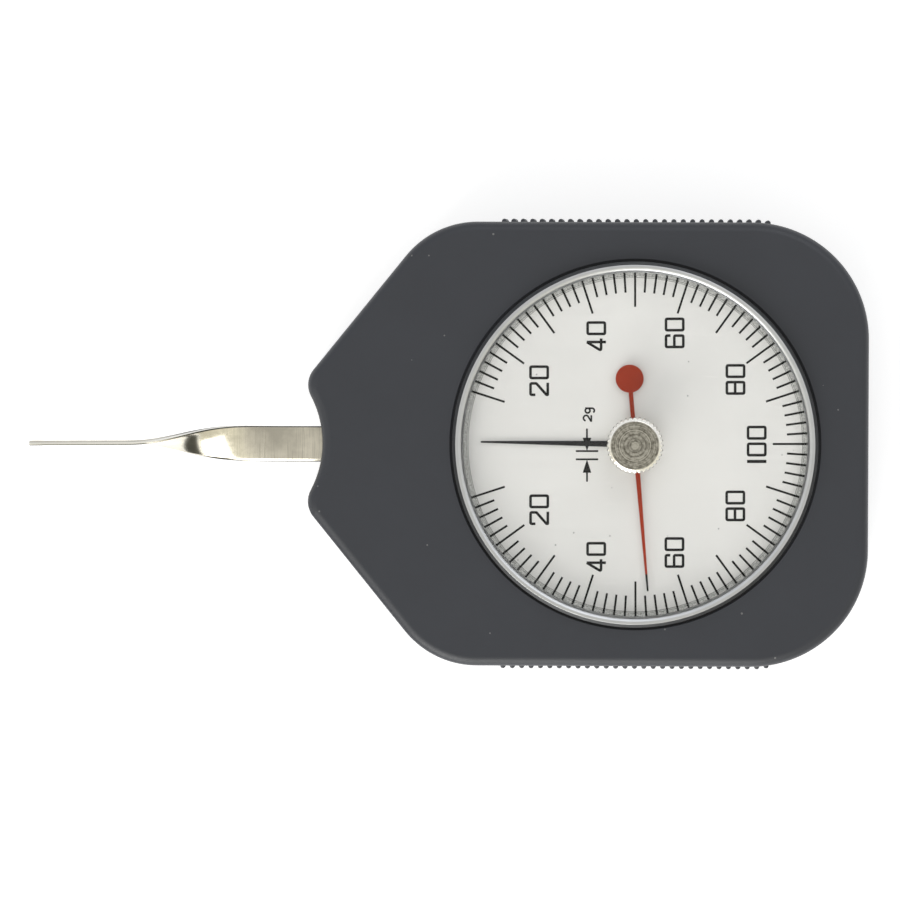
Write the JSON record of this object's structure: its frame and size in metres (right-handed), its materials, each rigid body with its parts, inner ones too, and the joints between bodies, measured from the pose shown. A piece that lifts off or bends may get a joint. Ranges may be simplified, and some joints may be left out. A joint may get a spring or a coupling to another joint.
{
  "type": "dial tension gauge",
  "caption": "Hand gauge that reads small forces on a twisted spring feeler with a round two-way dial, a main pointer and a drag pointer reset by a knurled knob.",
  "frame": {"origin": "on the dial's axis, at the flat back of the case", "axes": "+X from the feeler's tip to the square end of the case, +Y across the case, +Z out of the dial"},
  "size_m": [0.1177, 0.0628, 0.0225],
  "materials": {
    "case_paint": "matt, fine grained",
    "brass": "satin",
    "screw_steel": "turned",
    "spring_steel": "blued",
    "bright_steel": "polished",
    "feeler_nickel": "polished, lightly brushed",
    "bezel_nickel": "satin",
    "spacer_metal": "satin",
    "knob_nickel": "turned",
    "clear_crystal": "clear",
    "dial_silver": "finely brushed",
    "pointer_black": "satin black",
    "pointer_red": "satin red"
  },
  "bodies": {
    "case": {"front_case": "case_paint", "rear_cover": "case_paint", "case_screw_1": "screw_steel", "case_screw_2": "screw_steel", "case_screw_3": "screw_steel", "case_screw_4": "screw_steel", "lower_plate": "brass", "upper_plate": "brass", "pillar_1": "brass", "pillar_2": "brass", "pillar_3": "brass", "pillar_screw_1": "screw_steel", "pillar_screw_2": "screw_steel", "pillar_screw_3": "screw_steel", "movement_screw_1": "screw_steel", "movement_screw_2": "screw_steel", "movement_screw_3": "screw_steel", "centre_lower_bush": "brass", "centre_upper_bush": "brass", "lever_lower_bush": "brass", "lever_upper_bush": "brass", "stop_pin_1": "bright_steel", "stop_pin_2": "bright_steel", "return_spring": "spring_steel", "spring_stud": "brass"},
    "feeler_lever": {"lever_arbor": "bright_steel", "sector_gear": "brass", "feeler_carrier": "bright_steel", "feeler_blade": "feeler_nickel", "feeler_rivet_1": "bright_steel", "feeler_rivet_2": "bright_steel"},
    "pointer_train": {"centre_arbor": "bright_steel", "drive_pinion": "bright_steel", "spring_collet": "brass", "pointer_hub": "brass", "main_pointer": "pointer_black", "carrier_pin": "bright_steel"},
    "bezel_ring": {"bezel": "bezel_nickel", "bezel_clip": "spring_steel", "crystal": "clear_crystal", "spacer_ring": "spacer_metal", "dial_plate": "dial_silver", "dial_retainer": "spring_steel", "crystal_bush": "brass"},
    "drag_hand": {"drag_knob": "knob_nickel", "friction_washer": "spring_steel", "drag_arbor": "bright_steel", "drag_boss": "brass", "drag_pointer": "pointer_red"}
  },
  "joints": [
    {"name": "feeler_swing", "type": "hinge", "parent": "case", "child": "feeler_lever", "pos_m": [-0.03, 0, 0.0085], "axis": [0, 0, 1], "range_deg": [-15.5, 15.5], "stiffness_Nm_per_rad": 0.2045},
    {"name": "pointer_turn", "type": "hinge", "parent": "case", "child": "pointer_train", "pos_m": [0, 0, 0.0085], "axis": [0, 0, 1], "range_deg": [-187, 187]},
    {"name": "bezel_turn", "type": "hinge", "parent": "case", "child": "bezel_ring", "pos_m": [0, 0, 0.0158], "axis": [0, 0, 1], "continuous": true},
    {"name": "drag_turn", "type": "hinge", "parent": "bezel_ring", "child": "drag_hand", "pos_m": [0, 0, 0.0185], "axis": [0, 0, 1], "continuous": true}
  ],
  "couplings": [
    {"joint": "pointer_turn", "follows": "feeler_swing", "ratio": -12}
  ]
}
